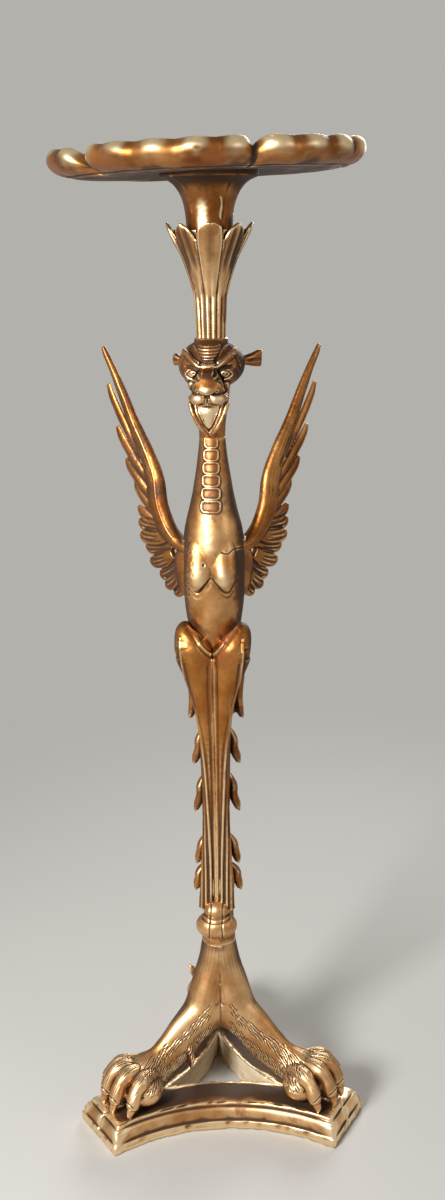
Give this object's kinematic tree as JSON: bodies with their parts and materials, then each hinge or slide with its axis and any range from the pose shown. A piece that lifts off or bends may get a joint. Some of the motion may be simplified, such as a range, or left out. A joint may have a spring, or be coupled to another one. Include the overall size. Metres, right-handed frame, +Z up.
{
  "type": "vase stand",
  "caption": "Tall carved and gilded stand for a vase: a winged griffin on lion legs and a hollow-sided plinth carries a petalled dish.",
  "frame": {"origin": "on the floor, under the axis of the stand", "axes": "+Z up the stand, -Y towards the front, +X to the right as seen from the front"},
  "size_m": [0.3487, 0.3475, 1.1499],
  "materials": {
    "gilded_wood": "burnished water gilding over red-brown bole, worn",
    "bare_wood": "sawn, unfinished",
    "steel": "old wood screws"
  },
  "bodies": {
    "root": {"plinth_front": "gilded_wood", "plinth_rear_right": "gilded_wood", "plinth_rear_left": "gilded_wood", "plinth_dowels": "bare_wood", "leg_front_right": "gilded_wood", "leg_rear": "gilded_wood", "leg_front_left": "gilded_wood", "leg_screws": "steel", "hub_dowel": "bare_wood", "column": "gilded_wood", "bud": "gilded_wood", "knee_left": "gilded_wood", "knee_right": "gilded_wood", "tail_curl_upper": "gilded_wood", "tail_curl_lower": "gilded_wood", "husk_1": "gilded_wood", "husk_2": "gilded_wood", "husk_3": "gilded_wood", "husk_4": "gilded_wood", "husk_5": "gilded_wood", "waist_dowel": "bare_wood", "torso": "gilded_wood", "wing_left": "gilded_wood", "wing_right": "gilded_wood", "wing_dowels": "bare_wood", "neck_dowel": "bare_wood", "head": "gilded_wood", "ear_left": "gilded_wood", "ear_right": "gilded_wood", "crown_dowel": "bare_wood", "calyx": "gilded_wood", "flared_neck": "gilded_wood", "dish": "gilded_wood"}
  },
  "joints": []
}
